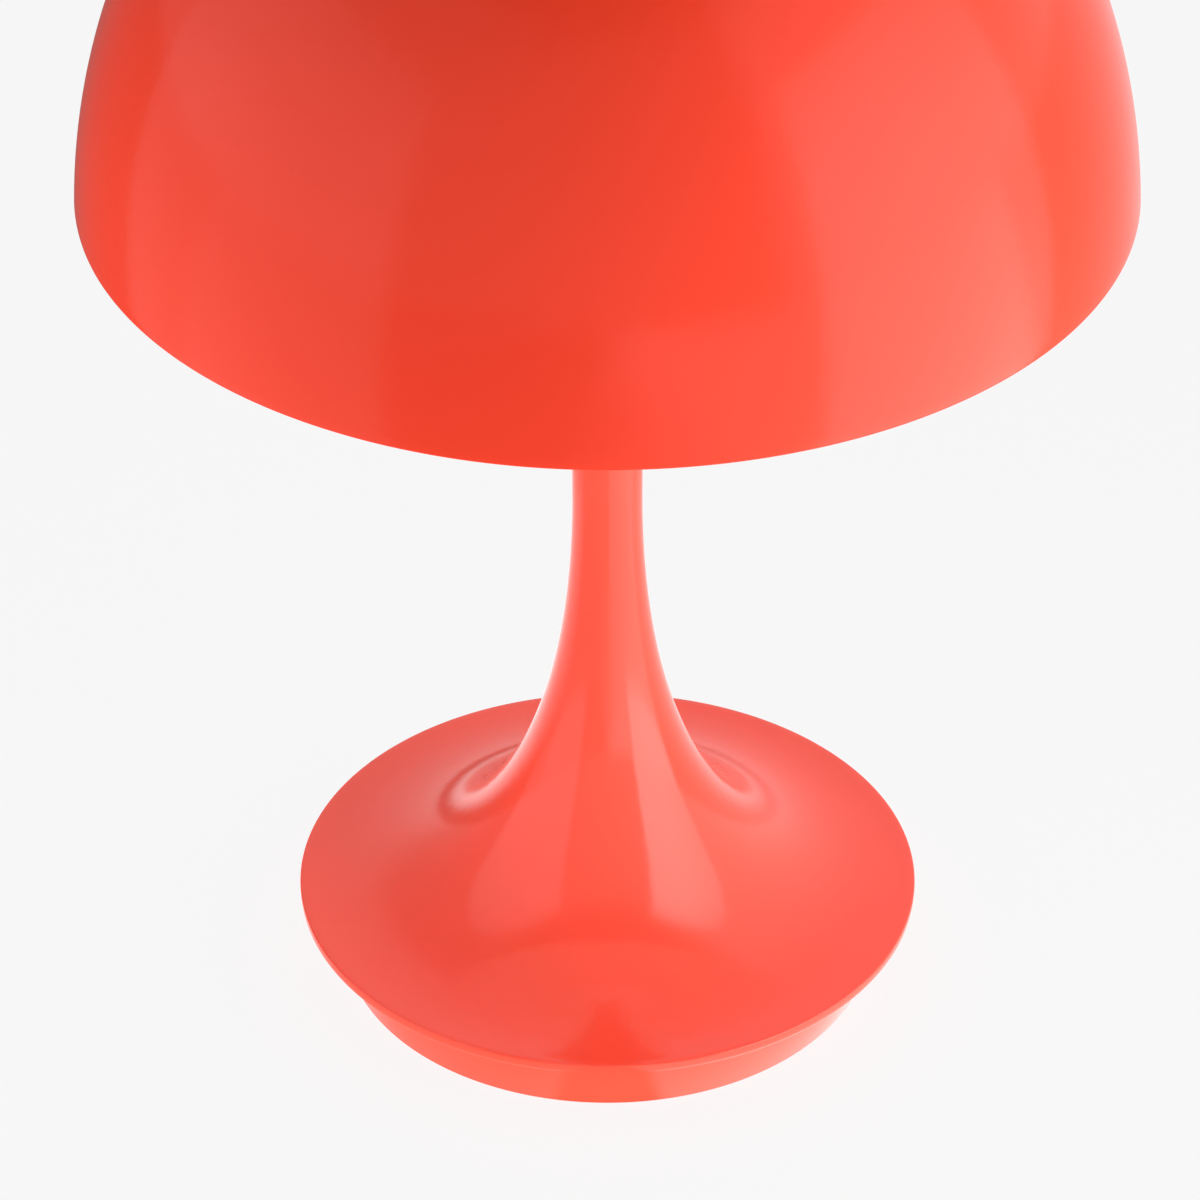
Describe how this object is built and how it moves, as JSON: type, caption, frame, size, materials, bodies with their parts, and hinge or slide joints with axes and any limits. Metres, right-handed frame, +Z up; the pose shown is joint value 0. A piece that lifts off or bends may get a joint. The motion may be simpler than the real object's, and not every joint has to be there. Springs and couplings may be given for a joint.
{
  "type": "portable table lamp",
  "caption": "Small cordless table lamp: mushroom shade on a thin stem that flows into a trumpet foot over a low recessed drum with battery, push button and charging socket.",
  "frame": {"origin": "on the table under the stem's axis, at the foot pad's underside", "axes": "+Z up along the stem, -Y the front as pictured, +Y the rear with the socket and the button"},
  "size_m": [0.16, 0.16, 0.23],
  "materials": {
    "coral_lacquer": "smooth high-gloss lacquer",
    "shade_lacquer": "smooth high-gloss lacquer outside, white inside",
    "button_plastic": "gloss moulding in the lacquer's colour",
    "flap_rubber": "fine matt silicone in the lacquer's colour",
    "opal_plastic": "satin opal, lets light through",
    "aluminium_head": "satin white lacquer on turned aluminium",
    "steel_plated": "zinc plated",
    "ballast_steel": "raw cast surface",
    "magnet_nickel": "nickel plated",
    "cover_plastic": "fine spark texture",
    "pad_rubber": "matt",
    "foam": "closed-cell foam",
    "battery_wrap": "foil pouch",
    "board_green": "solder mask",
    "board_white": "white solder mask",
    "component_black": "moulded",
    "connector_plastic": "moulded",
    "chip_phosphor": "phosphor gel",
    "clear_plastic": "clear light guide",
    "cable_jacket": "soft jacket",
    "lead_jacket": "soft jacket",
    "gasket_silicone": "silicone"
  },
  "bodies": {
    "base": {"shade_seat": "steel_plated", "seat_magnet": "magnet_nickel", "stem_and_foot": "coral_lacquer", "drum_housing": "coral_lacquer", "bottom_cover": "cover_plastic", "foot_pad": "pad_rubber", "ballast_weight": "ballast_steel", "ballast_screws": "steel_plated", "housing_screws": "steel_plated", "cover_screws": "steel_plated", "battery_cell": "battery_wrap", "battery_foam": "foam", "battery_leads": "lead_jacket", "control_board": "board_green", "board_headers": "connector_plastic", "board_parts": "component_black", "board_screws": "steel_plated", "usb_shell": "steel_plated", "usb_tongue": "component_black", "flap_pin": "steel_plated", "tact_switch": "component_black", "light_pipe": "clear_plastic", "carrier_tube": "steel_plated", "head_cup": "aluminium_head", "head_nut": "steel_plated", "led_board": "board_white", "led_chips": "chip_phosphor", "led_screws": "steel_plated", "led_socket": "connector_plastic", "led_cable": "cable_jacket", "diffuser_gasket": "gasket_silicone", "diffuser": "opal_plastic", "diffuser_nut": "steel_plated"},
    "shade": {"shade_shell": "shade_lacquer", "shade_socket": "aluminium_head", "shade_magnet": "magnet_nickel"},
    "button": {"button_cap": "button_plastic", "switch_plunger": "connector_plastic"},
    "port_lid": {"port_flap": "flap_rubber"}
  },
  "joints": [
    {"name": "shade_lift", "type": "slide", "parent": "base", "child": "shade", "axis": [0, 0, 1], "range_m": [0, 0.09]},
    {"name": "button_press", "type": "slide", "parent": "base", "child": "button", "axis": [-0.4384, -0.8988, 0], "range_m": [0, 0.0006], "stiffness_N_per_m": 1500},
    {"name": "lid_swing", "type": "hinge", "parent": "base", "child": "port_lid", "pos_m": [-0.0082, 0.04244, 0.00717], "axis": [0, 0, 1], "range_deg": [0, 95]}
  ]
}
